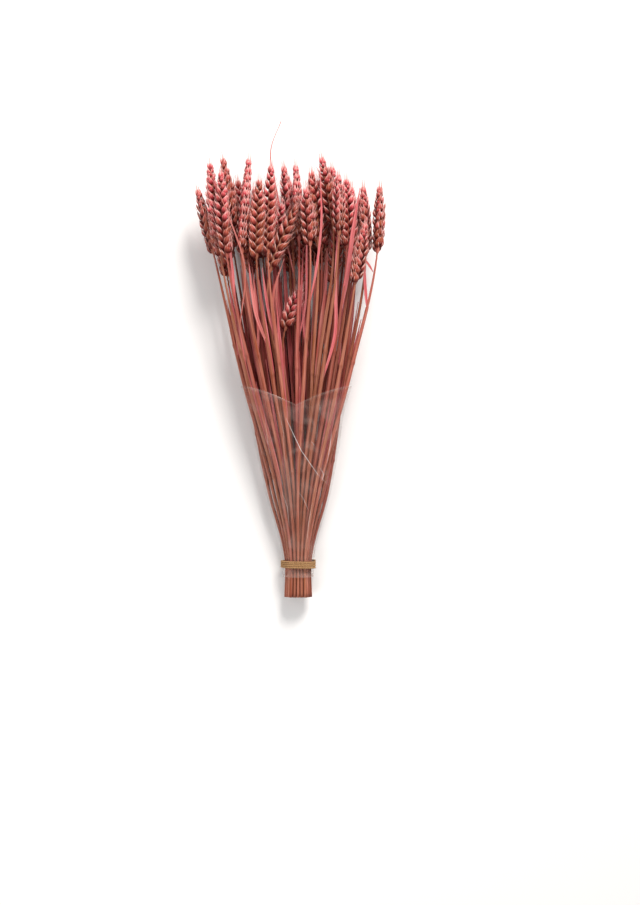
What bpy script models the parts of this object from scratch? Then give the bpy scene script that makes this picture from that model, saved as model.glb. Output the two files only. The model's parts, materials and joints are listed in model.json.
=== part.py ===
# A tied bunch of dyed dried wheat in a clear sleeve, lying on its side.
# Metres, +Z up. The ears point along +Y and the bunch rests on z = 0.
# Each stalk is one solid: a straw, its ear of overlapping scales, and the leaves that grow on it.
import math
import random

import bmesh
import bpy
import numpy as np
from mathutils import Matrix

MM = 0.001
SEED = 7

# Places along the bunch, in mm from the tie
CUT_END = -38.0
SHOULDER = 84.0  # the stems have fanned out of the tie here
RIM = 204.0  # open end of the sleeve
SKIRT = -15.0  # gathered end of the sleeve

# The stems where they are tied: seven rows, the front row (the top one as the bunch lies) first
ROWS = (5, 6, 7, 8, 7, 6, 5)
STEM_PITCH = 3.9
ROW_PITCH = STEM_PITCH * math.sqrt(3) / 2
TIE_HEIGHT = 16.4
FAN_X = 2.45  # how much wider than the tie the stems stand at the shoulder
FAN_Z = 1.7
SHOULDER_HEIGHT = 24.5
HEAD_HEIGHT = 40.0
HEAD_ROW = 10.2  # depth of one row among the ears

# Stem radius at places along it, as (share of the way from the tie to the ear, mm)
STEM_RADIUS = ((-1, 1.6), (0, 1.6), (0.24, 1.9), (0.6, 2.2), (0.85, 1.7), (1, 1.2))
STEM_SHARES = (0.1, 0.24, 0.43, 0.62, 0.81)

# The ear
SCALES = 8  # on each side of the ear
CORE = 3.7  # mm from the middle of the ear to the root of a scale
REACH = 8.6  # mm to a scale's point
CHEEK = 6.8  # mm to the flank of a scale
POINT_RISE = 1.5  # a scale's height in steps between scales
CLEAR = 0.55  # gap kept between neighbouring stalks
PRESSED = 1.0  # the lowest ears are flattened by this much where they lie

# Stalks whose ears show from the front, row by row and left to right in each row:
# (tip x, tip y, neck x, neck y, turn about the ear's own line in degrees)
FRONT = (
    (
        (-87, 446, -79, 345, 25),
        (-44, 437, -47, 345, 0),
        (9, 428, 15, 359, 35),
        (47, 442, 48, 370, 60),
        (76, 388, 64, 317, -50),
    ),
    (
        (-100, 458, -87, 348, -30),
        (-54, 462, -62, 350, 75),
        (-31, 455, -33, 350, 10),
        (26, 465, 41, 386, 30),
        (55, 439, 57, 359, -20),
        (92, 431, 88, 352, 65),
    ),
    (
        (-113, 429, -93, 352, 60),
        (-84, 464, -63, 359, 40),
        (2, 410, -31, 332, 15),
        (-5, 457, -1, 367, 80),
        (15, 449, 23, 370, -35),
        (63, 432, 62, 345, 20),
        (70, 431, 74, 350, -60),
    ),
    (
        (-97, 424, -80, 340, 10),
        (-70, 440, -58, 352, -25),
        (-14, 413, -29, 345, 0),
        (5, 319, -16, 266, 20),
        (-18, 457, -11, 365, 50),
        (22, 441, 27, 359, -10),
        (38, 456, 46, 372, 15),
        (70, 420, 64, 338, 30),
    ),
)

# Behind them: the ears of each further row are spread evenly over this width and height
BACK_SPAN = (-92.0, 73.0)
BACK_TIP = (404.0, 452.0)
BACK_LENGTH = (74.0, 88.0)

# Leaves that show: (row, place in the row, y of the root on the stem, width, further points)
LEAVES = (
    (0, 0, 292, 4.0, ((-76, 350), (-86, 400), (-97, 447))),
    (0, 2, 292, 3.6, ((20, 335), (26, 385), (25, 449))),
    (0, 3, 205, 5.0, ((42, 262), (45, 320), (49, 392))),
    (1, 4, 286, 7.0, ((55, 330), (60, 375), (68, 426))),
    (2, 3, 250, 3.2, ((7, 300), (9, 345), (10, 396))),
    (1, 5, 292, 4.6, ((76, 322), (75, 347))),
    (3, 4, 330, 2.6, ((-20, 420), (-28, 474), (-19, 505))),
)

# Narrow leaves along the other stems
SPARE_LEAVES = 15
SPARE_WIDTH = (3.8, 5.6)
SPARE_ROOT = (212.0, 262.0)
SPARE_LENGTH = (74.0, 128.0)
BLADE = 0.8  # thickness of every leaf

SLEEVE_WALL = 0.6
STEM_ROOM = 3.4  # from the middle of the outermost stems to the sleeve, at the tie
RIM_ROOM = 5.0  # and at its open end
SLEEVE_COLUMNS = 32
WAIST = 6.0  # the sleeve is straight from here to the same distance below the tie
SLEEVE_STATIONS = (SKIRT, -WAIST, WAIST, 22.0, 50.0, SHOULDER, 126.0, 166.0, RIM)
RIM_DIP = 22.0  # the sleeve's open end is this much lower in the middle than at its sides
BAND_WIDTH = 8.0
BAND_WALL = 2.0
BAND_GAP = 0.4

STEP = 8.0  # spacing of the points that keep stalks apart, in mm
ROUNDS = 360  # rounds of pushing stalks apart


def through(places, values, at):
    """Points at the places `at` on the smooth curve through the values."""
    slope = np.gradient(values, places, axis=0)
    i = np.clip(np.searchsorted(places, at) - 1, 0, len(places) - 2)
    span = (places[i + 1] - places[i])[:, None]
    t = ((at - places[i]) / span[:, 0])[:, None]
    return (
        (1 + 2 * t) * (1 - t) ** 2 * values[i]
        + t * (1 - t) ** 2 * span * slope[i]
        + t * t * (3 - 2 * t) * values[i + 1]
        + t * t * (t - 1) * span * slope[i + 1]
    )


class Strand:
    """A stalk or a leaf: a smooth line through a few knots, and the room that it takes."""

    def __init__(self, places, knots, free, at, radius, half, side, parent=None, root=0.0):
        self.places = np.array(places, float)
        self.knots = np.array(knots, float)
        self.free = np.array(free, float)[:, None] * np.array((0.22, 0.0, 1.0))
        self.radius = np.array(radius, float)
        self.half = np.array(half, float)[:, None] * np.array(side)
        self.weights = through(self.places, np.eye(len(places)), np.array(at, float))
        self.parent = parent
        self.root = root

    def line(self, at):
        return through(self.places, self.knots, np.array(at, float))

    def settle_root(self):
        if self.parent:
            self.knots[0] = self.parent.line([self.root])[0]

    def points(self):
        middle = self.weights @ self.knots
        return np.concatenate((middle - self.half, middle + self.half))

    def push(self, moves, touched):
        """Moves the knots by the mean of the pushes on the points near them."""
        n = len(self.weights)
        moves = moves[:n] + moves[n:]
        touched = touched[:n] + touched[n:]
        share = np.abs(self.weights).T
        self.knots += self.free * (share @ moves) / (share @ touched + 0.6)[:, None]


def stalk_list():
    """(row, place in the row, tip x, tip y, neck x, neck y, turn) of every stalk."""
    draw = random.Random(SEED)
    stalks = []
    for row, count in enumerate(ROWS):
        for place in range(count):
            if row < len(FRONT):
                stalks.append((row, place, *FRONT[row][place]))
                continue
            share = (place + 0.5) / count
            neck_x = BACK_SPAN[0] + share * (BACK_SPAN[1] - BACK_SPAN[0])
            tip_x = neck_x * 1.12 + draw.uniform(-5, 5)
            tip_y = draw.uniform(*BACK_TIP)
            neck_y = tip_y - draw.uniform(*BACK_LENGTH)
            stalks.append((row, place, tip_x, tip_y, neck_x, neck_y, draw.uniform(-25, 25)))
    return stalks


def bell(share):
    """Plumpness of the ear along its length: narrower at the neck and at the tip."""
    return 0.56 + 0.44 * math.sin(math.pi * min(1.0, 0.2 + 0.78 * share)) ** 0.7


def stem_radius(share):
    shares, radii = zip(*STEM_RADIUS)
    return float(np.interp(share, shares, radii))


def stalk_strand(stalk):
    row, place, tip_x, tip_y, neck_x, neck_y, turn = stalk
    slot_x = (place - (ROWS[row] - 1) / 2) * STEM_PITCH
    slot_z = ((len(ROWS) - 1) / 2 - row) * ROW_PITCH
    head_z = HEAD_HEIGHT + ((len(ROWS) - 1) / 2 - row) * HEAD_ROW
    fan = np.array((slot_x * FAN_X, SHOULDER, SHOULDER_HEIGHT + slot_z * FAN_Z))
    neck = np.array((neck_x, neck_y, head_z))
    middle = fan * 0.5 + neck * 0.5 + np.array((0.05 * (neck_x - fan[0]), 0, 0))
    knots = (
        (slot_x * 1.06, CUT_END, TIE_HEIGHT + slot_z * 1.06),
        (slot_x, 0, TIE_HEIGHT + slot_z),
        fan,
        middle,
        neck,
        (tip_x, tip_y, head_z + 2),
    )
    places = [k[1] for k in knots]
    at = np.concatenate((np.arange(SHOULDER + 30, neck_y, STEP), np.linspace(neck_y + 4, tip_y - 5, 11)))
    share = (at - neck_y) / (tip_y - neck_y)
    in_ear = share > 0
    radius = [6.6 * bell(s) if s > 0 else stem_radius(y / neck_y) for s, y in zip(share, at)]
    half = np.where(in_ear, 2.2, 0.0)
    side = (math.cos(math.radians(turn)), 0.0, math.sin(math.radians(turn)))
    return Strand(places, knots, (0, 0, 0, 1, 1, 1), at, radius, half, side)


def leaf_strand(parent, root, width, further):
    """A leaf that leaves its stem at the place `root` and runs through the further points."""
    start = parent.line([root])[0]
    lift = np.linspace(4, 9, len(further))
    knots = [start] + [(x, y, start[2] + up) for (x, y), up in zip(further, lift)]
    places = np.concatenate(([0], np.cumsum(np.linalg.norm(np.diff(knots, axis=0), axis=1))))
    at = np.arange(16, places[-1] + 1, STEP)
    free = [0] + [1] * len(further)
    room = np.full(len(at), 0.95)
    half = np.full(len(at), max(0.2, width / 2 - 0.8))
    return Strand(places, knots, free, at, room, half, (1, 0, 0), parent, root)


def spread(strands):
    """Pushes the strands apart in depth, and a little sideways, until they clear each other."""
    counts = [2 * len(s.weights) for s in strands]
    owner = np.repeat(np.arange(len(strands)), counts)
    radius = np.concatenate([np.tile(s.radius, 2) for s in strands])
    points = np.concatenate([s.points() for s in strands])
    near = np.abs(points[:, None, 1] - points[None, :, 1]) < 0.85 * STEP
    near &= np.abs(points[:, None, 0] - points[None, :, 0]) < 34
    near &= owner[:, None] < owner[None, :]
    first, second = np.nonzero(near)
    ends = np.cumsum(counts)
    for _ in range(ROUNDS):
        points = np.concatenate([s.points() for s in strands])
        apart = points[first] - points[second]
        distance = np.linalg.norm(apart, axis=1) + 1e-6
        short = radius[first] + radius[second] + CLEAR - distance
        hit = short > 0
        i, j = first[hit], second[hit]
        away = apart[hit] / distance[hit, None] * 0.5 * short[hit, None]
        moves = np.zeros_like(points)
        for axis in (0, 2):
            moves[:, axis] += np.bincount(i, away[:, axis], len(points))
            moves[:, axis] -= np.bincount(j, away[:, axis], len(points))
        touched = np.bincount(i, minlength=len(points)) + np.bincount(j, minlength=len(points))
        sunk = np.maximum(0, radius - PRESSED - points[:, 2])
        moves[:, 2] += sunk
        touched = touched + (sunk > 0)
        for strand, begin, end in zip(strands, ends - counts, ends):
            strand.push(moves[begin:end], touched[begin:end])
        for strand in strands:
            strand.settle_root()
    return strands


def frame_at(strand, at, turn):
    """Middle points, and the two directions across the line, at places on it."""
    middle = strand.line(at)
    ahead = strand.line(np.array(at) + 1.0) - strand.line(np.array(at) - 1.0)
    ahead /= np.linalg.norm(ahead, axis=1)[:, None]
    side = np.array((math.cos(math.radians(turn)), 0, math.sin(math.radians(turn))))
    side = side - ahead * (ahead @ side)[:, None]
    side /= np.linalg.norm(side, axis=1)[:, None]
    return middle, side, np.cross(side, ahead)


def stalk_rings(stalk, strand):
    """Rings of six points: plain round the stem, and raised into scales round the ear."""
    neck_y, tip_y, turn = stalk[5], stalk[3], stalk[6]
    step = (tip_y - neck_y) / (SCALES + 0.9)
    rings = []

    def ring(rows):
        places, radii = zip(*rows)
        middle, side, up = frame_at(strand, np.array(places), turn)
        angle = np.radians(60 * np.arange(6))
        out = side * np.cos(angle)[:, None] + up * np.sin(angle)[:, None]
        rings.append(middle + out * np.array(radii)[:, None])

    ring([(CUT_END, stem_radius(-1))] * 6)
    for share in (0.0, *STEM_SHARES):
        ring([(share * neck_y, stem_radius(share))] * 6)
    ring([(neck_y - 2, stem_radius(1))] * 6)
    for k in range(SCALES):
        root, point = [], []
        for column in range(6):
            left = column in (2, 3, 4)
            y = k + 0.5 * left
            plump = bell((k + 0.5) / SCALES)
            edge = column in (0, 3)
            rise = POINT_RISE if edge else 0.95
            top = min(y + rise, SCALES + 0.6)
            root.append((neck_y + y * step, plump * CORE))
            point.append((neck_y + top * step, plump * (REACH if edge else CHEEK)))
        ring(root)
        ring(point)
    ring([(tip_y - 0.75 * step, 2.4)] * 6)
    ring([(tip_y, 0.45)] * 6)
    return rings


def loft(name, rings, closed_ends=True):
    """A skin over rings of points, each in mm."""
    bm = bmesh.new()
    loops = [[bm.verts.new(p * MM) for p in ring] for ring in rings]
    for low, high in zip(loops, loops[1:]):
        for i in range(len(low)):
            j = (i + 1) % len(low)
            bm.faces.new((low[i], low[j], high[j], high[i]))
    if closed_ends:
        bm.faces.new(reversed(loops[0]))
        bm.faces.new(loops[-1])
    bmesh.ops.recalc_face_normals(bm, faces=bm.faces)
    return as_object(name, bm)


def as_object(name, bm):
    mesh = bpy.data.meshes.new(name)
    bm.to_mesh(mesh)
    bm.free()
    return bpy.data.objects.new(name, mesh)


def leaf_blade(name, strand, width):
    """A ribbon along the leaf's line: narrow at its root, pointed at its tip."""
    count = max(4, int(strand.places[-1] / 26))
    at = np.linspace(0, strand.places[-1], count + 1)
    middle = strand.line(at)
    ahead = np.gradient(middle, at, axis=0)
    across = np.stack((ahead[:, 1], -ahead[:, 0], 0 * at), axis=1)
    across /= np.linalg.norm(across, axis=1)[:, None]
    share = at / at[-1]
    half = width / 2 * np.clip(0.5 + 2.2 * share, 0, 1) * np.clip(2.6 * (1 - share), 0.14, 1)
    bm = bmesh.new()
    bmesh.ops.create_grid(bm, x_segments=1, y_segments=count, size=1.0)
    for vert in bm.verts:
        i = round((vert.co.y + 1) / 2 * count)
        vert.co = (middle[i] + math.copysign(half[i], vert.co.x) * across[i]) * MM
    blade = as_object(name, bm)
    thick = blade.modifiers.new("thickness", "SOLIDIFY")
    thick.thickness = BLADE * MM
    thick.offset = 0
    return blade


def paint(name, color, roughness, alpha=1.0):
    material = bpy.data.materials.new(name)
    material.use_nodes = True
    shader = material.node_tree.nodes["Principled BSDF"]
    shader.inputs["Base Color"].default_value = (*color, 1)
    shader.inputs["Roughness"].default_value = roughness
    shader.inputs["Metallic"].default_value = 0
    shader.inputs["Alpha"].default_value = alpha
    return material


def collection(name):
    made = bpy.data.collections.new(name)
    bpy.context.scene.collection.children.link(made)
    return made


def finished(target, source):
    """Applies the object's modifiers, and keeps what lies above the surface it rests on."""
    view = bpy.context.evaluated_depsgraph_get()
    mesh = bpy.data.meshes.new_from_object(target.evaluated_get(view))
    target.modifiers.clear()
    target.data = mesh
    for vert in mesh.vertices:
        vert.co.z = max(vert.co.z, 0.0)
    if not mesh.materials:
        mesh.materials.append(source)


def ring_round(strands, y, room, columns):
    """A ring at the place y, drawn tight round all the stems with some room left."""
    stems = np.concatenate([s.line([y]) for s in strands])[:, (0, 2)]
    centre = (stems.min(axis=0) + stems.max(axis=0)) / 2
    angle = np.arange(columns) / columns * 2 * math.pi
    out = np.stack((np.cos(angle), np.sin(angle)), axis=1)
    support = ((stems - centre) @ out.T).max(axis=0) + room
    facing = np.maximum(out @ out.T, 1e-3)
    reach = (support[None, :] / facing).min(axis=1)
    across = centre + out * reach[:, None]
    return np.stack((across[:, 0], np.full(columns, float(y)), across[:, 1]), axis=1)


def centre(parts):
    """Moves the whole bunch so that the middle of its box is at x = y = 0."""
    corners = np.array([v.co for made in parts.objects for v in made.data.vertices])
    x, y, _ = (corners.min(axis=0) + corners.max(axis=0)) / 2
    for made in parts.objects:
        made.data.transform(Matrix.Translation((-x, -y, 0)))


def tube(name, rings, wall, material, parts):
    made = loft(name, rings, closed_ends=False)
    parts.objects.link(made)
    shell = made.modifiers.new("wall", "SOLIDIFY")
    shell.thickness = wall * MM
    shell.offset = 1
    finished(made, material)
    return made


def make_sleeve(strands, parts):
    rings = []
    for y in SLEEVE_STATIONS:
        room = STEM_ROOM + (RIM_ROOM - STEM_ROOM) * max(0.0, y) / RIM
        ring = ring_round(strands, WAIST if abs(y) <= WAIST else y, room, SLEEVE_COLUMNS)
        ring[:, 1] = y
        if y == RIM:
            middle = (ring[:, 0].min() + ring[:, 0].max()) / 2
            inward = 1 - np.abs(ring[:, 0] - middle) / (ring[:, 0].max() - middle)
            ring[:, 1] -= RIM_DIP * inward**1.5
        rings.append(ring)
    return tube("sleeve", rings, SLEEVE_WALL, paint("clear film", (0.85, 0.8, 0.79), 0.2, 0.3), parts)


def make_tie(strands, parts):
    half = BAND_WIDTH / 2
    rings = []
    for y, rise in ((-half, 0.0), (-half / 2, 0.35), (half / 2, 0.35), (half, 0.0)):
        room = STEM_ROOM + SLEEVE_WALL + BAND_GAP + rise
        ring = ring_round(strands, WAIST, room, SLEEVE_COLUMNS)
        ring[:, 1] = y
        rings.append(ring)
    return tube("tie", rings, BAND_WALL, paint("tie", (0.55, 0.36, 0.2), 0.8), parts)


def main():
    for old in list(bpy.data.objects):
        bpy.data.objects.remove(old)
    parts = collection("wheat bunch")
    growing = collection("leaves to fuse")
    straw = paint("dyed straw", (0.53, 0.22, 0.18), 0.75)
    stalks = stalk_list()
    strands = [stalk_strand(s) for s in stalks]
    index = {(s[0], s[1]): i for i, s in enumerate(stalks)}
    leaves = [(index[row, place], root, width, far) for row, place, root, width, far in LEAVES]
    draw = random.Random(SEED + 1)
    taken = {owner for owner, *_ in leaves}
    for owner in draw.sample([i for i in range(len(stalks)) if i not in taken], SPARE_LEAVES):
        root, length = draw.uniform(*SPARE_ROOT), draw.uniform(*SPARE_LENGTH)
        drift = draw.choice((-1, 1)) * draw.uniform(5, 9)
        stem = strands[owner].line(root + length * np.array((0.33, 0.66, 1)))
        far = tuple((x + drift * f, y) for (x, y, _), f in zip(stem, (0.6, 0.9, 1.1)))
        leaves.append((owner, root, draw.uniform(*SPARE_WIDTH), far))
    blades = [leaf_strand(strands[owner], root, width, far) for owner, root, width, far in leaves]
    spread(strands + blades)

    for number, (stalk, strand) in enumerate(zip(stalks, strands), 1):
        made = loft(f"stalk_{number:02d}", stalk_rings(stalk, strand))
        parts.objects.link(made)
        own = [(line, leaf) for line, leaf in zip(blades, leaves) if leaf[0] == number - 1]
        for line, leaf in own:
            blade = leaf_blade("leaf", line, leaf[2])
            growing.objects.link(blade)
            fuse = made.modifiers.new("fuse", "BOOLEAN")
            fuse.operation = "UNION"
            fuse.object = blade
        finished(made, straw)
        for blade in list(growing.objects):
            bpy.data.objects.remove(blade)
    make_sleeve(strands, parts)
    make_tie(strands, parts)
    centre(parts)
    bpy.data.collections.remove(growing)


main()
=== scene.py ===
import json
import math
import random
from collections import namedtuple

import bpy
import numpy as np
from mathutils import Matrix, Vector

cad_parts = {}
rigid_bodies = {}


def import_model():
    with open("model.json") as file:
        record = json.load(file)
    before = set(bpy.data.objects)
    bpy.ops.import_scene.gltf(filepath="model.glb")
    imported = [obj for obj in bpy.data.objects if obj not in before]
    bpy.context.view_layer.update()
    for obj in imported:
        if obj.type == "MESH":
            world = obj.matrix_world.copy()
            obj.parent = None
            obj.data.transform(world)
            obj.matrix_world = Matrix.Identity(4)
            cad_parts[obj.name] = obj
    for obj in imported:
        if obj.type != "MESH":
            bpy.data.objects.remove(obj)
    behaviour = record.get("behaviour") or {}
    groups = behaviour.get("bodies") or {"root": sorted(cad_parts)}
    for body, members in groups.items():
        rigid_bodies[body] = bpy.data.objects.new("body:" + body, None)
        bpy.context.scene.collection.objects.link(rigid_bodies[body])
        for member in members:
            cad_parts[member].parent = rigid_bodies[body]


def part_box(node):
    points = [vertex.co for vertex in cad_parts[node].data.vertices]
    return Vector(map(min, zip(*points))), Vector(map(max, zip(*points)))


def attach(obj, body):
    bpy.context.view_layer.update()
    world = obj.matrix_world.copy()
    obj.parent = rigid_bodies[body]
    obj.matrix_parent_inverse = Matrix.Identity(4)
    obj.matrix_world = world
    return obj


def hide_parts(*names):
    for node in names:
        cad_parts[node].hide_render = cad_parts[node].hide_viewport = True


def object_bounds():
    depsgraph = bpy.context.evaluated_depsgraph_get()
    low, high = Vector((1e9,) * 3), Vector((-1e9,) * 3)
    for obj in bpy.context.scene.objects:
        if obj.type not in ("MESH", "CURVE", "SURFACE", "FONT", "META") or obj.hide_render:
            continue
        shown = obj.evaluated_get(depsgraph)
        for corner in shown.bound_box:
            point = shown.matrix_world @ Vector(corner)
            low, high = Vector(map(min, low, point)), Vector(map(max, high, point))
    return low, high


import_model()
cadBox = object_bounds()
mm = 0.001

# How the stalks stand in the bunch, in mm from the tie: the same values as the CAD stalks
bunch = {
    "seed": 7,
    "rows": (5, 6, 7, 8, 7, 6, 5),  # stalks in each row, from the front to the back
    "cutEnd": -38.0,
    "shoulder": 84.0,
    "rim": 204.0,
    "stemPitch": 3.9,
    "rowPitch": 3.9 * math.sqrt(3) / 2,
    "tieHeight": 16.4,
    "cutSpread": 1.06,  # how much wider the cut ends stand than the waist
    "fanX": 2.45,
    "fanZ": 1.7,
    "fanBulge": 0.05,
    "shoulderHeight": 24.5,
    "headHeight": 40.0,
    "headRow": 10.2,
    "tipRise": 2.0,
    "stemRadius": ((-1, 1.6), (0, 1.6), (0.24, 1.9), (0.6, 2.2), (0.85, 1.7), (1, 1.2)),
    "earRadius": 6.6,  # of each of its two columns
    "earHalf": 2.2,  # from its core to the middle of a column
    "earEnds": (4.0, 5.0),  # left out at its foot and its tip
    "earPoints": 11,
    "backSpan": (-92.0, 73.0),
    "backLean": 1.12,
    "backDrift": 5.0,
    "backTip": (404.0, 452.0),
    "backLength": (74.0, 88.0),
    "backTurn": 25.0,
    "leafRise": (4, 9),
    "leafFoot": 16.0,  # the bit of a leaf that may touch its stalk
    "leafRoom": 0.95,
    "leafEdge": 0.8,
    "leafLeast": 0.2,
    "spareLeaves": 15,
    "spareWidth": (3.8, 5.6),
    "spareRoot": (212.0, 262.0),
    "spareLength": (74.0, 128.0),
    "spareDrift": (5.0, 9.0),
    "spareAt": (0.33, 0.66, 1.0),  # where a spare leaf has its points, and how much each drifts
    "spareOut": (0.6, 0.9, 1.1),
    "clear": 0.55,  # the gap that is kept between all of them
    "pressed": 1.0,  # how far an ear is pressed by what the bunch lies on
    "step": 8.0,  # between the points that are kept clear
    "nearAlong": 0.85,  # steps apart, past which two points are never compared
    "nearAcross": 34.0,
    "give": (0.22, 0.0, 1.0),  # how freely a stalk moves across, along and up
    "damp": 0.6,
    "rounds": 360,
}

# (tip x, tip y, neck x, neck y, turn) of the ears that show from the front, row by row
frontEars = (
    (
        (-87, 446, -79, 345, 25),
        (-44, 437, -47, 345, 0),
        (9, 428, 15, 359, 35),
        (47, 442, 48, 370, 60),
        (76, 388, 64, 317, -50),
    ),
    (
        (-100, 458, -87, 348, -30),
        (-54, 462, -62, 350, 75),
        (-31, 455, -33, 350, 10),
        (26, 465, 41, 386, 30),
        (55, 439, 57, 359, -20),
        (92, 431, 88, 352, 65),
    ),
    (
        (-113, 429, -93, 352, 60),
        (-84, 464, -63, 359, 40),
        (2, 410, -31, 332, 15),
        (-5, 457, -1, 367, 80),
        (15, 449, 23, 370, -35),
        (63, 432, 62, 345, 20),
        (70, 431, 74, 350, -60),
    ),
    (
        (-97, 424, -80, 340, 10),
        (-70, 440, -58, 352, -25),
        (-14, 413, -29, 345, 0),
        (5, 319, -16, 266, 20),
        (-18, 457, -11, 365, 50),
        (22, 441, 27, 359, -10),
        (38, 456, 46, 372, 15),
        (70, 420, 64, 338, 30),
    ),
)

# (row, place, root y, width, further points) of the leaves that show
frontLeaves = (
    (0, 0, 292, 4.0, ((-76, 350), (-86, 400), (-97, 447))),
    (0, 2, 292, 3.6, ((20, 335), (26, 385), (25, 449))),
    (0, 3, 205, 5.0, ((42, 262), (45, 320), (49, 392))),
    (1, 4, 286, 7.0, ((55, 330), (60, 375), (68, 426))),
    (2, 3, 250, 3.2, ((7, 300), (9, 345), (10, 396))),
    (1, 5, 292, 4.6, ((76, 322), (75, 347))),
    (3, 4, 330, 2.6, ((-20, 420), (-28, 474), (-19, 505))),
)

Stalk = namedtuple("Stalk", "row place tipX tipY neckX neckY turn")


def through(places, values, at):  # a smooth curve through the values, read at the places `at`
    slope = np.gradient(values, places, axis=0)
    i = np.clip(np.searchsorted(places, at) - 1, 0, len(places) - 2)
    span = (places[i + 1] - places[i])[:, None]
    t = ((at - places[i]) / span[:, 0])[:, None]
    return (
        (1 + 2 * t) * (1 - t) ** 2 * values[i]
        + t * (1 - t) ** 2 * span * slope[i]
        + t * t * (3 - 2 * t) * values[i + 1]
        + t * t * (t - 1) * span * slope[i + 1]
    )


def lengthsAlong(points):  # how far along the line through them each point is
    return np.concatenate(([0], np.cumsum(np.linalg.norm(np.diff(points, axis=0), axis=1))))


def unit(vectors):
    return vectors / np.linalg.norm(vectors, axis=1)[:, None]


class Strand:  # the middle line of a stalk or leaf, with the points that are kept clear of the others
    def __init__(self, places, knots, free, at, radius, half, side, parent=None, root=0.0):
        self.places = np.array(places, float)
        self.knots = np.array(knots, float)
        self.free = np.array(free, float)[:, None] * np.array(bunch["give"])
        self.radius = np.array(radius, float)
        self.half = np.array(half, float)[:, None] * np.array(side)
        self.weights = through(self.places, np.eye(len(places)), np.array(at, float))
        self.parent = parent
        self.root = root

    def line(self, at):
        return through(self.places, self.knots, np.array(at, float))

    def settleRoot(self):
        if self.parent:
            self.knots[0] = self.parent.line([self.root])[0]

    def points(self):
        middle = self.weights @ self.knots
        return np.concatenate((middle - self.half, middle + self.half))

    def push(self, moves, touched):
        n = len(self.weights)
        moves = moves[:n] + moves[n:]
        touched = touched[:n] + touched[n:]
        share = np.abs(self.weights).T
        self.knots += self.free * (share @ moves) / (share @ touched + bunch["damp"])[:, None]


def stalkList():
    draw = random.Random(bunch["seed"])
    span, drift, turn = bunch["backSpan"], bunch["backDrift"], bunch["backTurn"]
    made = []
    for row, count in enumerate(bunch["rows"]):
        for place in range(count):
            if row < len(frontEars):
                made.append(Stalk(row, place, *frontEars[row][place]))
                continue
            neckX = span[0] + (place + 0.5) / count * (span[1] - span[0])
            tipX = neckX * bunch["backLean"] + draw.uniform(-drift, drift)
            tipY = draw.uniform(*bunch["backTip"])
            neckY = tipY - draw.uniform(*bunch["backLength"])
            made.append(Stalk(row, place, tipX, tipY, neckX, neckY, draw.uniform(-turn, turn)))
    return made


def bell(share):  # plumpness of the ear along its length
    return 0.56 + 0.44 * math.sin(math.pi * min(1.0, 0.2 + 0.78 * share)) ** 0.7


def stemRadius(share):
    shares, radii = zip(*bunch["stemRadius"])
    return np.interp(share, shares, radii)


def stalkStrand(stalk):
    rows = bunch["rows"]
    behind = (len(rows) - 1) / 2 - stalk.row
    slotX = (stalk.place - (rows[stalk.row] - 1) / 2) * bunch["stemPitch"]
    slotZ = behind * bunch["rowPitch"]
    headZ = bunch["headHeight"] + behind * bunch["headRow"]
    fanZ = bunch["shoulderHeight"] + slotZ * bunch["fanZ"]
    fan = np.array((slotX * bunch["fanX"], bunch["shoulder"], fanZ))
    neck = np.array((stalk.neckX, stalk.neckY, headZ))
    bulge = bunch["fanBulge"] * (stalk.neckX - fan[0])
    knots = (
        (slotX * bunch["cutSpread"], bunch["cutEnd"], bunch["tieHeight"] + slotZ * bunch["cutSpread"]),
        (slotX, 0, bunch["tieHeight"] + slotZ),
        fan,
        fan * 0.5 + neck * 0.5 + np.array((bulge, 0, 0)),
        neck,
        (stalk.tipX, stalk.tipY, headZ + bunch["tipRise"]),
    )
    places = [knot[1] for knot in knots]
    foot, top = bunch["earEnds"]
    stem = np.arange(bunch["shoulder"] + 30, stalk.neckY, bunch["step"])
    up = np.linspace(stalk.neckY + foot, stalk.tipY - top, bunch["earPoints"])
    at = np.concatenate((stem, up))
    share = (at - stalk.neckY) / (stalk.tipY - stalk.neckY)
    radius = [
        bunch["earRadius"] * bell(s) if s > 0 else stemRadius(y / stalk.neckY)
        for s, y in zip(share, at)
    ]
    half = np.where(share > 0, bunch["earHalf"], 0.0)
    side = (math.cos(math.radians(stalk.turn)), 0.0, math.sin(math.radians(stalk.turn)))
    return Strand(places, knots, (0, 0, 0, 1, 1, 1), at, radius, half, side)


def leafStrand(parent, root, width, further, rise=bunch["leafRise"]):
    start = parent.line([root])[0]
    lift = np.linspace(*rise, len(further))
    knots = [start] + [(x, y, start[2] + up) for (x, y), up in zip(further, lift)]
    places = lengthsAlong(knots)
    at = np.arange(bunch["leafFoot"], places[-1] + 1, bunch["step"])
    free = [0] + [1] * len(further)
    room = np.full(len(at), bunch["leafRoom"])
    half = np.full(len(at), max(bunch["leafLeast"], width / 2 - bunch["leafEdge"]))
    return Strand(places, knots, free, at, room, half, (1, 0, 0), parent, root)


def leafList():  # (stalk's number, root y, width, further points) of every leaf that the CAD has too
    draw = random.Random(bunch["seed"] + 1)
    made = [(stalkAt[row, place], root, width, far) for row, place, root, width, far in frontLeaves]
    owners = {owner for owner, *_ in made}
    bare = [number for number in range(len(stalks)) if number not in owners]
    for owner in draw.sample(bare, bunch["spareLeaves"]):
        root, length = draw.uniform(*bunch["spareRoot"]), draw.uniform(*bunch["spareLength"])
        drift = draw.choice((-1, 1)) * draw.uniform(*bunch["spareDrift"])
        stem = strands[owner].line(root + length * np.array(bunch["spareAt"]))
        far = tuple((x + drift * out, y) for (x, y, _), out in zip(stem, bunch["spareOut"]))
        made.append((owner, root, draw.uniform(*bunch["spareWidth"]), far))
    return made


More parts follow.
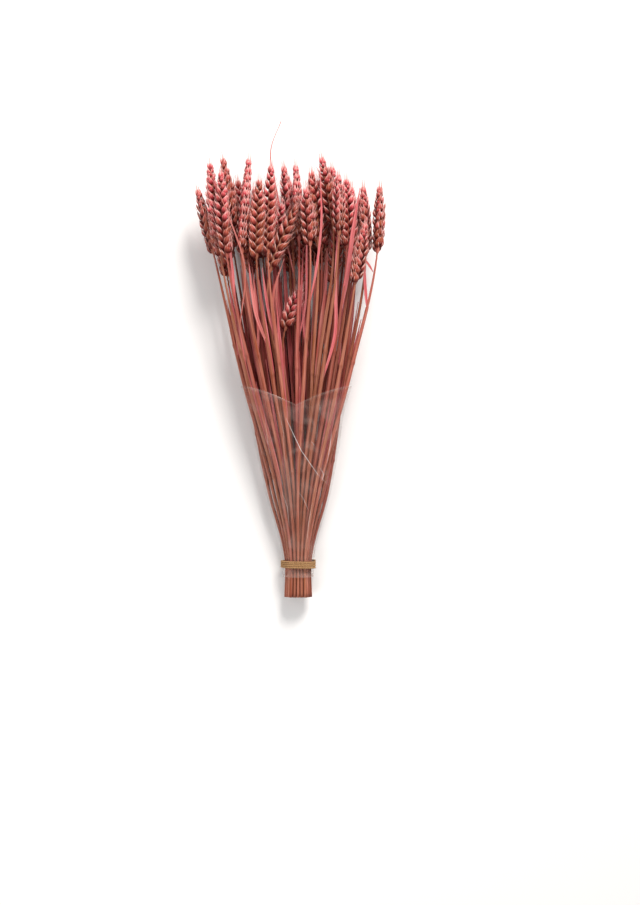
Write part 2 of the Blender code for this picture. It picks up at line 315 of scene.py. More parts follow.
def spread(strands):  # pushes stalks and leaves apart until they clear each other
    counts = [2 * len(s.weights) for s in strands]
    owner = np.repeat(np.arange(len(strands)), counts)
    radius = np.concatenate([np.tile(s.radius, 2) for s in strands])
    points = np.concatenate([s.points() for s in strands])
    near = np.abs(points[:, None, 1] - points[None, :, 1]) < bunch["nearAlong"] * bunch["step"]
    near &= np.abs(points[:, None, 0] - points[None, :, 0]) < bunch["nearAcross"]
    near &= owner[:, None] < owner[None, :]
    first, second = np.nonzero(near)
    ends = np.cumsum(counts)
    for _ in range(bunch["rounds"]):
        points = np.concatenate([s.points() for s in strands])
        apart = points[first] - points[second]
        distance = np.linalg.norm(apart, axis=1) + 1e-6
        short = radius[first] + radius[second] + bunch["clear"] - distance
        hit = short > 0
        i, j = first[hit], second[hit]
        away = apart[hit] / distance[hit, None] * 0.5 * short[hit, None]
        moves = np.zeros_like(points)
        for axis in (0, 2):
            moves[:, axis] += np.bincount(i, away[:, axis], len(points))
            moves[:, axis] -= np.bincount(j, away[:, axis], len(points))
        touched = np.bincount(i, minlength=len(points)) + np.bincount(j, minlength=len(points))
        sunk = np.maximum(0, radius - bunch["pressed"] - points[:, 2])
        moves[:, 2] += sunk
        touched = touched + (sunk > 0)
        for strand, begin, end in zip(strands, ends - counts, ends):
            strand.push(moves[begin:end], touched[begin:end])
        for strand in strands:
            strand.settleRoot()


stalks = stalkList()
strands = [stalkStrand(stalk) for stalk in stalks]
stalkAt = {stalk[:2]: number for number, stalk in enumerate(stalks)}
leaves = leafList()
blades = [leafStrand(strands[owner], root, width, far) for owner, root, width, far in leaves]
spread(strands + blades)
tieLow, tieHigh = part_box("tie")
origin = np.array(((tieLow[0] + tieHigh[0]) / 2, (tieLow[1] + tieHigh[1]) / 2, 0)) / mm
print("layout of", len(stalks), "stalks and", len(blades), "leaves")


# Materials: nodes and node groups that they share

def srgb(r, g, b):  # a colour as seen on a screen, 0 to 255
    shares = [c / 255 for c in (r, g, b)]
    return tuple(c / 12.92 if c < 0.0404 else ((c + 0.055) / 1.055) ** 2.4 for c in shares) + (1,)


def plug(tree, node, links):  # each socket takes another node's output, or a plain value
    for socket, source in links.items():
        if hasattr(source, "links"):
            tree.links.new(source, node.inputs[socket])
        else:
            node.inputs[socket].default_value = source


def addNode(tree, kind, links=(), **values):
    node = tree.nodes.new(kind)
    for key, value in values.items():
        setattr(node, key, value)
    plug(tree, node, dict(links))
    return node


def mathNode(tree, operation, a, b=0.0, clamp=False):
    return addNode(tree, "ShaderNodeMath", {0: a, 1: b}, operation=operation, use_clamp=clamp).outputs[0]


def mixColor(tree, factor, a, b):
    return addNode(tree, "ShaderNodeMix", {0: factor, 6: a, 7: b}, data_type="RGBA").outputs[2]


def rampNode(tree, source, stops):  # a colour ramp over (place, value or colour)
    node = addNode(tree, "ShaderNodeValToRGB", {0: source})
    ramp = node.color_ramp
    while len(ramp.elements) < len(stops):
        ramp.elements.new(0.5)
    for element, (place, value) in zip(ramp.elements, stops):
        element.position = place
        element.color = value if isinstance(value, tuple) else (value, value, value, 1)
    return node.outputs[0]


def noiseNode(tree, place, scale, detail=3.0, distortion=0.0):
    links = {"Vector": place, "Scale": scale, "Detail": detail, "Distortion": distortion}
    return addNode(tree, "ShaderNodeTexNoise", links).outputs["Fac"]


def objectPlace(tree):
    return addNode(tree, "ShaderNodeTexCoord").outputs["Object"]


def attribute(tree, name, channel="Fac"):
    return addNode(tree, "ShaderNodeAttribute", attribute_name=name).outputs[channel]


def newGroup(name, inputs):  # a node group that puts out one mask
    group = bpy.data.node_groups.new(name, "ShaderNodeTree")
    for label, kind, value in inputs:
        socket = group.interface.new_socket(name=label, in_out="INPUT", socket_type=kind)
        socket.default_value = value
    group.interface.new_socket(name="Mask", in_out="OUTPUT", socket_type="NodeSocketFloat")
    return group, group.nodes.new("NodeGroupInput").outputs, group.nodes.new("NodeGroupOutput")


def makeFibreGroup():  # fine lines that run along a straw, husk or leaf
    group, given, outside = newGroup("fibre", (
        ("Grain", "NodeSocketVector", (0, 0, 0)),
        ("Lines", "NodeSocketFloat", 6.0),
        ("Run", "NodeSocketFloat", 0.3),
    ))
    split = addNode(group, "ShaderNodeSeparateXYZ", {0: given["Grain"]})
    across = mathNode(group, "MULTIPLY", split.outputs[0], given["Lines"])
    along = mathNode(group, "MULTIPLY", split.outputs[1], given["Run"])
    place = addNode(group, "ShaderNodeCombineXYZ", {0: across, 1: along, 2: split.outputs[2]})
    noise = noiseNode(group, place.outputs[0], 1.0)
    plug(group, outside, {"Mask": rampNode(group, noise, ((0.3, 0.0), (0.7, 1.0)))})
    return group


def makeDyeGroup():  # how strongly the pink dye has taken: uneven, in soft patches
    group, given, outside = newGroup("dye", (
        ("Dye", "NodeSocketFloat", 0.5),
        ("Patch", "NodeSocketFloat", 90.0),
        ("Uneven", "NodeSocketFloat", 0.5),
    ))
    patch = noiseNode(group, objectPlace(group), given["Patch"], 4.0)
    centred = mathNode(group, "SUBTRACT", patch, 0.5)
    uneven = mathNode(group, "MULTIPLY", centred, given["Uneven"])
    plug(group, outside, {"Mask": mathNode(group, "ADD", given["Dye"], uneven, clamp=True)})
    return group


fibreGroup = makeFibreGroup()
dyeGroup = makeDyeGroup()


def dyeMask(tree, look):
    links = {"Dye": attribute(tree, "dye"), "Patch": look["patch"], "Uneven": look["uneven"]}
    return addNode(tree, "ShaderNodeGroup", links, node_tree=dyeGroup).outputs[0]


def fibreMask(tree, lines, run):
    links = {"Grain": attribute(tree, "grain", "Vector"), "Lines": lines, "Run": run}
    return addNode(tree, "ShaderNodeGroup", links, node_tree=fibreGroup).outputs[0]


def newMaterial(name, **settings):
    material = bpy.data.materials.new(name)
    material.use_nodes = True
    tree = material.node_tree
    shader = tree.nodes["Principled BSDF"]
    for socket, value in settings.items():
        shader.inputs[socket.replace("_", " ")].default_value = value
    return material, tree, shader


def addBump(tree, shader, height, strength, distance):
    bump = addNode(tree, "ShaderNodeBump", {"Height": height, "Strength": strength, "Distance": distance})
    plug(tree, shader, {"Normal": bump.outputs[0]})


def tint(tree, mask, share, color, other):  # takes the colour towards another where the mask says
    return mixColor(tree, mathNode(tree, "MULTIPLY", mask, share), color, other)


huskLook = {
    "bare": srgb(164, 80, 48),
    "rose": srgb(230, 82, 92),
    "deep": srgb(92, 12, 8),
    "pale": srgb(255, 214, 206),
    "specular": 0.28,
    "patch": 120.0,
    "uneven": 1.3,
    "lines": 7.0,
    "run": 0.8,
    "lineDark": 0.3,
    "toneShadeDark": 0.45,
    "huskFootShade": ((0.12, 0.95), (0.62, 0.0)),  # painted shade at each husk's foot, by the share of the way along
    # painted highlight towards each husk's tip, as strong as the dye
    "tipHighlight": ((0.55, 0.0), (1.0, 0.55)),
    "rimFrom": ((0.25, 0.0), (0.6, 1.0)),
    "rimHighlight": ((0.0, 0.6), (0.2, 0.0), (0.8, 0.0), (1.0, 0.12)),  # from the rim, at 0, to the keel, at 1: pale rims, partly the husks' own pale margins and partly painted highlight, and a faint painted highlight on the keel
    "roughness": ((0.0, 0.42), (1.0, 0.66)),
    "bump": (0.6, 0.0003),
}


def makeHuskMaterial(look):
    material, tree, shader = newMaterial("huskDyed", IOR=1.45, Specular_IOR_Level=look["specular"])
    dye, lines = dyeMask(tree, look), fibreMask(tree, look["lines"], look["run"])
    along = attribute(tree, "along")
    # on the ears the dye also carries painted light from above, rising towards the top
    color = mixColor(tree, dye, look["bare"], look["rose"])
    color = tint(tree, lines, look["lineDark"], color, look["deep"])
    # painted shade at each husk's foot
    color = mixColor(tree, rampNode(tree, along, look["huskFootShade"]), color, look["deep"])
    # random tone and painted shade
    color = tint(tree, attribute(tree, "tone_and_shade"), look["toneShadeDark"], color, look["deep"])
    # painted highlight towards each husk's tip
    tip = mathNode(tree, "MULTIPLY", rampNode(tree, along, look["tipHighlight"]), dye)
    # pale rims, partly the husks' own margins and partly painted highlight; a faint painted highlight on
    # the keel
    rim = rampNode(tree, attribute(tree, "rib"), look["rimHighlight"])
    high = mathNode(tree, "MULTIPLY", rampNode(tree, along, look["rimFrom"]), rim)
    color = mixColor(tree, mathNode(tree, "ADD", tip, high, clamp=True), color, look["pale"])
    plug(tree, shader, {"Base Color": color, "Roughness": rampNode(tree, lines, look["roughness"])})
    addBump(tree, shader, lines, *look["bump"])
    return material


strawLook = {
    "tan": srgb(160, 92, 44),
    "rose": srgb(176, 60, 54),
    "deep": srgb(96, 18, 10),
    "pale": srgb(255, 180, 164),
    "specular": 0.24,
    "patch": 34.0,
    "uneven": 0.9,
    "lines": 5.0,
    "run": 0.05,
    "highlightStreaks": (1.2, 0.03),  # painted highlight: broad pale streaks, how many across, and their run
    "highlightStreakPale": 0.52,
    "lineDark": 0.45,
    "toneShadeDark": 0.75,
    "markAndHollowShade": 0.7,  # darker at the nodes and ribs; inside the hollow cut ends it is painted shade
    "roughness": ((0.0, 0.38), (1.0, 0.62)),
    "bump": (0.6, 0.0002),
}
leafLook = strawLook | {
    "tan": srgb(192, 96, 66),
    "rose": srgb(230, 94, 102),
    "deep": srgb(116, 18, 12),
    "pale": srgb(255, 200, 196),
    "patch": 40.0,
    "lines": 9.0,
}


def makeStrawMaterial(name, look):
    material, tree, shader = newMaterial(name, IOR=1.45, Specular_IOR_Level=look["specular"])
    lines = fibreMask(tree, look["lines"], look["run"])
    color = mixColor(tree, dyeMask(tree, look), look["tan"], look["rose"])
    # painted highlight: broad pale streaks
    color = tint(tree, fibreMask(tree, *look["highlightStreaks"]), look["highlightStreakPale"], color, look["pale"])
    color = tint(tree, lines, look["lineDark"], color, look["deep"])
    # random tone and painted shade
    color = tint(tree, attribute(tree, "tone_and_shade"), look["toneShadeDark"], color, look["deep"])
    color = tint(tree, attribute(tree, "mark"), look["markAndHollowShade"], color, look["deep"])
    plug(tree, shader, {"Base Color": color, "Roughness": rampNode(tree, lines, look["roughness"])})
    addBump(tree, shader, lines, *look["bump"])
    return material


huskMaterial = makeHuskMaterial(huskLook)
strawMaterial = makeStrawMaterial("strawDyed", strawLook)
leafMaterial = makeStrawMaterial("leafDyed", leafLook)
print("materials for husks, straw and leaves")


# Steps that several pieces use

def deselect():
    if bpy.context.mode != "OBJECT":
        bpy.ops.object.mode_set(mode="OBJECT")
    bpy.ops.object.select_all(action="DESELECT")


def pick(made):  # makes it the one selected object
    deselect()
    bpy.context.view_layer.objects.active = made
    made.select_set(True)


def recalculate(made, merge=0.0, holes=0):  # its faces point outwards, once doubles and holes are gone
    pick(made)
    bpy.ops.object.mode_set(mode="EDIT")
    bpy.ops.mesh.select_all(action="SELECT")
    if merge:
        bpy.ops.mesh.remove_doubles(threshold=merge)
    if holes:
        bpy.ops.mesh.fill_holes(sides=holes)
    bpy.ops.mesh.normals_make_consistent(inside=False)
    bpy.ops.object.mode_set(mode="OBJECT")


def addWall(made, thickness, offset):
    wall = made.modifiers.new("wall", "SOLIDIFY")
    wall.thickness = thickness * mm
    wall.offset = offset
    pick(made)
    bpy.ops.object.modifier_apply(modifier="wall")
    bpy.ops.object.shade_smooth()


def cutRows(made, cuts):  # rings along a cylinder that is 1 long
    bpy.ops.object.mode_set(mode="EDIT")
    bpy.ops.mesh.select_mode(type="EDGE")
    bpy.ops.mesh.select_all(action="DESELECT")
    bpy.ops.object.mode_set(mode="OBJECT")
    for edge in made.data.edges:
        low, high = (made.data.vertices[i].co.z for i in edge.vertices)
        edge.select = abs(low - high) > 0.5
    bpy.ops.object.mode_set(mode="EDIT")
    bpy.ops.mesh.subdivide(number_cuts=cuts)
    bpy.ops.object.mode_set(mode="OBJECT")


def joined(pieces, name):
    deselect()
    for piece in pieces:
        piece.select_set(True)
    bpy.context.view_layer.objects.active = pieces[0]
    bpy.ops.object.join()
    made = bpy.context.object
    made.name = name
    made.data.name = name
    return made


def coordinates(mesh):
    points = np.empty(len(mesh.vertices) * 3)
    mesh.vertices.foreach_get("co", points)
    return points.reshape(-1, 3)


def setCoordinates(mesh, points):
    mesh.vertices.foreach_set("co", np.ascontiguousarray(points, float).ravel())
    mesh.update()


def placePoints(mesh, points):  # from mm from the tie to the frame's metres
    setCoordinates(mesh, (points + origin) * mm)


def setValue(mesh, name, values, kind="FLOAT"):
    layer = mesh.attributes.get(name) or mesh.attributes.new(name, kind, "POINT")
    single = kind == "FLOAT"
    shape = (len(mesh.vertices),) if single else (len(mesh.vertices), 3)
    values = np.ascontiguousarray(np.broadcast_to(values, shape), np.float32)
    layer.data.foreach_set("value" if single else "vector", values.ravel())


def setGrain(mesh, across, along, own=0.0):  # where the fibres run, and a number of the piece's own
    setValue(mesh, "grain", np.stack((across, along, np.full(len(along), own)), axis=1), "FLOAT_VECTOR")


# Husk: one boat-shaped scale with a keel, 1 long and 1 wide, modelled once without and once with a beard

husk = {
    "sides": 6,
    "root": 0.3,
    "profile": ((0.1, 0.66), (0.26, 0.94), (0.46, 1.0), (0.66, 0.8), (0.83, 0.44), (0.95, 0.16)),
    "tip": ((1.1, 0.04),),
    "beard": ((1.15, 0.13), (1.65, 0.045)),
    "width": 0.58,
    "depth": 0.5,
    "middle": 0.2,  # a vertex with less of x than this share of y is on the keel or under it
    "rim": 0.3,  # how far forward the rims stand, of the keel's height
    "inner": 0.12,
    "bow": 0.34,
    "bowLength": 1.1,
    "bowSink": 0.4,
    "beardBack": 0.25,
    "fibres": 3,
    "sharp": 38,
}


def makeHusk(name, tip):
    deselect()
    bpy.ops.mesh.primitive_circle_add(vertices=husk["sides"], radius=husk["root"], fill_type="NGON")
    made = bpy.context.object
    made.name = name
    bpy.ops.object.mode_set(mode="EDIT")
    bpy.ops.mesh.select_all(action="SELECT")
    height, width = 0.0, husk["root"]
    for place, wide in husk["profile"] + tip:
        bpy.ops.mesh.extrude_region_move(TRANSFORM_OT_translate={"value": (0, 0, place - height)})
        bpy.ops.transform.resize(value=(wide / width, wide / width, 1))
        height, width = place, wide
    bpy.ops.object.mode_set(mode="OBJECT")
    recalculate(made)
    mesh = made.data
    x, y, z = coordinates(mesh).T
    middle = np.abs(x) < husk["middle"] * np.abs(y)
    keel = middle & (y > 0)
    setValue(mesh, "along", np.clip(z, 0, 1))
    setValue(mesh, "rib", np.where(keel, 1.0, np.where(middle, 0.5, 0.0)))
    setGrain(mesh, np.arctan2(x, y), z * husk["fibres"])
    y = np.where(y < 0, y * husk["inner"], np.where(keel, y, y * 2 * husk["rim"]))
    bow = np.sin(np.pi * np.clip(z, 0, husk["bowLength"]) / husk["bowLength"])
    bow = bow - husk["bowSink"] - husk["beardBack"] * np.clip(z - 1, 0, 1)
    setCoordinates(mesh, np.stack((x * husk["width"], y * husk["depth"] + husk["bow"] * bow, z), axis=1))
    bpy.ops.object.shade_smooth_by_angle(angle=math.radians(husk["sharp"]))
    mesh.materials.append(huskMaterial)
    return made


huskModel = makeHusk("husk", husk["tip"])
beardedModel = makeHusk("bearded_husk", husk["beard"])
print("husk models")


# The ear: husks placed in spikelets, left and right of the core in turn

ear = {
    "dye": (0.45, 1.0),
    "pitch": 9.0,  # between spikelets on one side
    "fewest": 5,
    "bareEnds": 12.0,  # length that bears no spikelets
    "first": 0.3,  # of the pitch, before the first one
    "foot": 1.0,
    "top": 13.0,
    "taper": 0.36,  # how much slimmer the ear's last third gets
    "taperFrom": 0.66,
    "taperOver": 0.34,
    "loose": 5.0,  # degrees that a husk may be off
    "plumpness": 0.6,
    "vary": (0.92, 1.07),
    "bearded": 0.4,  # share of the outer husks
    # base (outward, up, forward), tilt outward, tilt forward, facing (outward, forward),
    # size (long, wide, deep)
    "glume": ((2.0, 0.0, 2.3), 21, 7, (0.4, 1.0), (11.6, 6.6, 4.0)),
    "lemma": ((2.6, 2.6, 1.3), 30, 7, (1.0, 0.6), (11.8, 5.8, 4.2)),
    "middle": ((2.4, 3.6, 0.0), 35, 0, (1.0, 0.0), (11.2, 5.0, 4.2)),
    "crown": (11.0, 3.8, 3.2, 7),  # the last husks: long, wide, deep, tilt
    "crownHusks": 5,
    "crownTurn": 0.6,
    "crownDrop": 1.5,
    "crownOut": 0.7,
    "dyeFoot": 0.1,  # of the ear's dye, at its foot, and how much more at its tip; the rise is partly dye and partly painted light from above, pinker and paler towards the top
    "dyeRise": 1.2,
    "dyeVary": 0.22,
    # painted shade: random darkening of the husks that grows towards the ear's foot
    "earFootShade": 1.3,
}


def huskPlace(base, direction, facing, length, width, depth):  # the matrix that puts a husk on the ear
    direction = direction / np.linalg.norm(direction)
    facing = facing - direction * (facing @ direction)
    facing = facing / np.linalg.norm(facing)
    across = np.cross(facing, direction)
    place = Matrix.Identity(4)
    for column, axis in enumerate((across * width, facing * depth, direction * length, base)):
        for row in range(3):
            place[row][column] = axis[row]
    return place


def spikeletPlaces(neckY, tipY, draw):  # each husk's matrix, share of the way up, and if it has a beard
    length = tipY - neckY
    count = 2 * max(ear["fewest"], round((length - ear["bareEnds"]) / ear["pitch"]))
    for k in range(count):
        share = (k + 0.5) / count
        plump = bell(share) * (1 - ear["taper"] * max(0, share - ear["taperFrom"]) / ear["taperOver"])
        side = 1 if k % 2 else -1
        y = neckY + ear["foot"] + (k + ear["first"]) * (length - ear["top"]) / count
        for name, forward in (("glume", 1), ("glume", -1), ("lemma", 1), ("lemma", -1), ("middle", 0)):
            (out, up, front), tilt, lean, (faceOut, faceFront), size = ear[name]
            tilt = math.radians(tilt * plump + draw.uniform(-1, 1) * ear["loose"])
            lean = math.radians(lean * forward + draw.uniform(-1, 1) * ear["loose"])
            base = np.array((side * out * plump, y + up, forward * front * plump))
            direction = np.array((side * math.sin(tilt), math.cos(tilt), math.sin(lean)))
            facing = np.array((side * faceOut, 0.0, forward * faceFront))
            grown = np.array(size) * plump ** ear["plumpness"] * draw.uniform(*ear["vary"])
            bearded = name == "middle" or draw.random() < ear["bearded"]
            yield huskPlace(base, direction, facing, *grown), share, bearded
    long, wide, deep, tilt = ear["crown"]
    for k in range(ear["crownHusks"]):
        angle = math.pi * 2 / ear["crownHusks"] * k + ear["crownTurn"]
        out = np.array((math.cos(angle), 0, math.sin(angle)))
        direction = np.array((0, 1, 0)) + out * math.tan(math.radians(tilt))
        base = np.array((0, tipY - long - ear["crownDrop"], 0)) + out * ear["crownOut"]
        yield huskPlace(base, direction, out, long, wide, deep), 1.0, True


def copyOf(model, place):
    copy = model.copy()
    copy.data = model.data.copy()
    copy.data.transform(place)
    bpy.context.scene.collection.objects.link(copy)
    return copy


def makeEar(stalk, dye, draw):
    made = []
    for place, share, bearded in spikeletPlaces(stalk.neckY, stalk.tipY, draw):
        copy = copyOf(beardedModel if bearded else huskModel, place)
        vary = draw.uniform(-ear["dyeVary"], ear["dyeVary"])
        # partly dye, partly painted light from above: the ear gets pinker and paler towards its top
        dyeAndTopLight = dye * (ear["dyeFoot"] + ear["dyeRise"] * share) + vary
        setValue(copy.data, "dye", min(1.0, max(0.0, dyeAndTopLight)))
        # random tone, and painted shade that grows towards the ear's foot
        setValue(copy.data, "tone_and_shade", draw.random() * (ear["earFootShade"] - share))
        made.append(copy)
    return made


# The straw: a ridged tube with swollen nodes, a sheath that ends in a collar, and a hollow cut end

straw = {
    "seed": 21,
    "dyes": (0.0, 0.1, 0.4, 0.7, 1.0),
    "sides": 12,
    "ridges": 6,
    "ridge": 0.03,
    "nodes": ((96.0, 170.0), (215.0, 262.0)),  # where the two of them may be
    "nodeSwell": 0.55,
    "nodeLength": 2.6,
    "nodeRings": (-5.0, -3.2, -1.8, -0.8, 0.0, 0.8, 1.8, 3.2),
    "nodeMark": 0.35,
    "collar": (0.7, 0.86),  # where the sheath may end, as a share of the way to the neck
    "collarStep": 0.3,
    "collarSlant": 1.2,
    "collarTurn": 9,
    "collarRings": (-1.4, -0.3, 0.3, 1.4),
    "hollow": 0.55,
    "hollowStep": 0.0005,  # of the cylinder's length, which tells the hollow's floor from the cut end
    "hollowDepth": 4.0,
    "ringGap": 6.0,
    "fineStretch": 16.0,  # length with finer rings, below the ear
    "fineGap": 1.5,
    "leastGap": 0.35,
    "earEnds": (4.0, 9.0),
    "earRings": 9,
    "core": (2.6, 1.2),  # radius inside the ear, at its foot and near its tip
    "knobs": 9.0,  # length of the knobbly bit below the ear
    "knobShift": 0.22,
    "knobPitch": 3.2,
    "tone_and_shade": 0.55,
    "tonePower": 1.5,
    "rowShade": 0.1,  # painted shade: deeper in the bunch they are darker
    "dyeFoot": 0.45,
    "dyeRise": 0.6,
}


def strawPlaces(neckY, tipY, nodes, collar):  # where the straw has a ring of vertices
    fine = neckY - straw["fineStretch"]
    foot, top = straw["earEnds"]
    runs = [
        np.arange(bunch["cutEnd"], fine, straw["ringGap"]),
        np.arange(fine, neckY + 2, straw["fineGap"]),
        np.linspace(neckY + foot, tipY - top, straw["earRings"]),
        collar + np.array(straw["collarRings"]),
    ]
    runs += [node + np.array(straw["nodeRings"]) for node in nodes]
    places = np.sort(np.concatenate(runs))
    return places[np.concatenate(([True], np.diff(places) > straw["leastGap"]))]


def makeTube(rings):  # a straight straw, 1 long, with a hollow cut end
    deselect()
    bpy.ops.mesh.primitive_cylinder_add(vertices=straw["sides"], radius=1, depth=1, end_fill_type="NGON")
    made = bpy.context.object
    cutRows(made, rings - 2)
    bpy.ops.object.mode_set(mode="EDIT")
    bpy.ops.mesh.select_mode(type="FACE")
    bpy.ops.mesh.select_all(action="DESELECT")
    bpy.ops.object.mode_set(mode="OBJECT")
    for face in made.data.polygons:
        face.select = face.center.z < -0.499
    bpy.ops.object.mode_set(mode="EDIT")
    bpy.ops.mesh.inset(thickness=1 - straw["hollow"])
    bpy.ops.mesh.extrude_region_move(TRANSFORM_OT_translate={"value": (0, 0, straw["hollowStep"])})
    bpy.ops.object.mode_set(mode="OBJECT")
    bpy.ops.object.shade_smooth()
    return made


def makeStraw(stalk, dye, draw):
    neckY, tipY = stalk.neckY, stalk.tipY
    nodes = [draw.uniform(*span) for span in straw["nodes"]]
    collar = neckY * draw.uniform(*straw["collar"])
    places = strawPlaces(neckY, tipY, nodes, collar)
    made = makeTube(len(places))
    mesh = made.data
    x, y, z = coordinates(mesh).T
    ring = (z + 0.5) * (len(places) - 1)
    inside = (ring > 0.001) & (ring < 0.4)
    at = places[np.rint(ring).astype(int)]
    angle, full = np.arctan2(y, x), np.hypot(x, y)
    radius = stemRadius(np.where(at < 0, -1, at / neckY)) * full
    radius = np.where(at > neckY + 1, np.interp(at, (neckY, tipY), straw["core"]), radius)
    radius *= 1 + straw["ridge"] * np.cos(straw["ridges"] * angle)
    bare = at > collar + straw["collarSlant"] * np.cos(angle - dye * straw["collarTurn"])
    radius = np.where(bare & (at <= neckY + 1), radius - straw["collarStep"] * full, radius)
    mark = np.zeros(len(at))
    for node in nodes:
        near = np.exp(-(((at - node) / straw["nodeLength"]) ** 2))
        radius += straw["nodeSwell"] * near * full
        mark = np.maximum(mark, near)
    knob = np.where((at > neckY - straw["knobs"]) & (at < neckY + 1), 1.0, 0.0)
    shift = straw["knobShift"] * knob * np.sign(np.sin((at - neckY) * math.pi / straw["knobPitch"]))
    at = np.where(inside, at + straw["hollowDepth"], at)
    setCoordinates(mesh, np.stack((np.cos(angle) * radius + shift, at, np.sin(angle) * radius), axis=1))
    along = np.clip(at / neckY, 0, 1)
    # random tone, and painted shade deeper in the bunch
    tone_and_shade = draw.random() ** straw["tonePower"] * straw["tone_and_shade"] + straw["rowShade"] * max(0, stalk.row - 1)
    setValue(mesh, "along", along)
    # painted shade inside the hollow cut end; the nodes are darker
    setValue(mesh, "mark", np.where(inside, 1.0, mark * straw["nodeMark"]))
    setValue(mesh, "tone_and_shade", min(1.0, tone_and_shade))
    setValue(mesh, "dye", np.clip(dye * (straw["dyeFoot"] + straw["dyeRise"] * along), 0, 1))
    setGrain(mesh, angle * 2, at, draw.uniform(0, 50))
    mesh.materials.append(strawMaterial)
    recalculate(made)
    return made


# Leaves: dry folded ribbons

leafShape = {
    "dyes": (0.1, 0.5, 0.9, 1.0),
    "columns": 4,
    "step": 5.0,
    "fewestRows": 8,
    "fold": 0.6,
    "ripple": 0.4,
    "rippleLength": (9, 15),
    "twist": 25,  # degrees from root to tip, at most, and the tilt of the whole leaf
    "tilt": 12,
    "wall": 0.28,
    "slim": 0.7,
    "least": 0.3,
    "rootWidth": (0.5, 2.2),  # share of the width at the root, and how fast it grows
    "tipWidth": (2.6, 0.06, 0.8),  # how fast it narrows, the least share, and the power that rounds it
    "rib": 0.25,
    "dyeRise": 0.2,
    "fibres": 2.2,
    "shadeByRow": 0.2,  # deeper in the bunch the dry ones are darker
    "shade": 0.25,
}

# Dry leaves that hug the stems, which only the scene has
dryLeaves = {
    "count": (1, 2, 3, 4, 5, 5, 5),  # on each stalk of a row
    "root": (10.0, 245.0),
    "length": (80.0, 180.0),
    "belowNeck": 6,
    "width": (3.0, 8.0),
    "drift": 5.0,
    "inward": 0.04,
    "at": (0.3, 0.65, 1.0),  # where a dry leaf has its points, and how much each drifts
    "out": (0.25, 0.6, 1.0),
    "rise": (0.6, 1.6),
}
# Dry leaves that are placed one by one: (row, place, root y, width, further points, rise)
placedLeaves = (
    (0, 0, 270, 2.4, ((-60, 342), (-73, 382), (-92, 429)), (12, 18)),
    (4, 2, 150, 8.0, ((-20, 230), (-25, 300), (-30, 372)), (0.5, 2)),
    (4, 3, 160, 7.0, ((-9, 240), (-14, 310), (-18, 380)), (0.5, 2)),
    (5, 2, 140, 9.0, ((-14, 220), (-20, 290), (-24, 365)), (0.5, 2)),
    (3, 2, 170, 5.0, ((-17, 240), (-22, 300), (-27, 350)), (0.5, 2)),
    (5, 3, 150, 8.0, ((-3, 230), (-7, 300), (-9, 370)), (0.5, 2)),
    (6, 2, 120, 9.0, ((-8, 210), (-13, 290), (-16, 360)), (0.5, 2)),
    (4, 1, 180, 7.0, ((-40, 250), (-49, 310), (-55, 360)), (0.5, 2)),
    (4, 5, 170, 7.0, ((24, 250), (30, 310), (33, 372)), (0.5, 2)),
    (5, 1, 150, 8.0, ((-34, 230), (-42, 300), (-46, 365)), (0.5, 2)),
    (4, 2, 170, 7.0, ((-26, 250), (-34, 310), (-38, 365)), (0.5, 2)),
    (5, 3, 200, 8.0, ((0, 260), (2, 320), (3, 380)), (0.5, 2)),
    (5, 4, 160, 8.0, ((16, 240), (22, 310), (24, 375)), (0.5, 2)),
    (6, 3, 130, 8.0, ((6, 220), (9, 300), (10, 365)), (0.5, 2)),
)
# The second leg of the leaf that is folded over beside the outermost ear
foldedLeaf = {
    "stalk": (1, 5),
    "knots": ((74.6, 347.0), (80.0, 340.0), (85.0, 332.0)),
    "rise": 0.5,
    "width": 3.4,
}


def ownStrands(number):  # the stalk's leaves that the CAD has too, with a folded one's second leg
    made = [(blade, width) for blade, (owner, _, width, _) in zip(blades, leaves) if owner == number]
    if stalks[number][:2] == foldedLeaf["stalk"]:
        blade = made[0][0]
        end = blade.line([blade.places[-1]])[0]
        knots = [(x, y, end[2] + foldedLeaf["rise"]) for x, y in foldedLeaf["knots"]]
        held = [0] * len(knots)
        leg = Strand(lengthsAlong(knots), knots, held, [0.0], [1.0], [0.0], (1, 0, 0), strands[number])
        made.append((leg, foldedLeaf["width"]))
    return made


def dryStrands(number, draw):
    stalk, strand = stalks[number], strands[number]
    made = []
    for _ in range(dryLeaves["count"][stalk.row]):
        root = draw.uniform(*dryLeaves["root"])
        length = min(draw.uniform(*dryLeaves["length"]), stalk.neckY - root - dryLeaves["belowNeck"])
        drift = draw.uniform(-1, 1) * dryLeaves["drift"] - stalk.neckX * dryLeaves["inward"]
        stem = strand.line(root + length * np.array(dryLeaves["at"]))
        far = tuple((x + drift * out, y) for (x, y, _), out in zip(stem, dryLeaves["out"]))
        width = draw.uniform(*dryLeaves["width"])
        made.append((leafStrand(strand, root, width, far, dryLeaves["rise"]), width))
    for row, place, root, width, far, rise in placedLeaves:
        if stalkAt[row, place] == number:
            made.append((leafStrand(strand, root, width, far, rise), width))
    return made


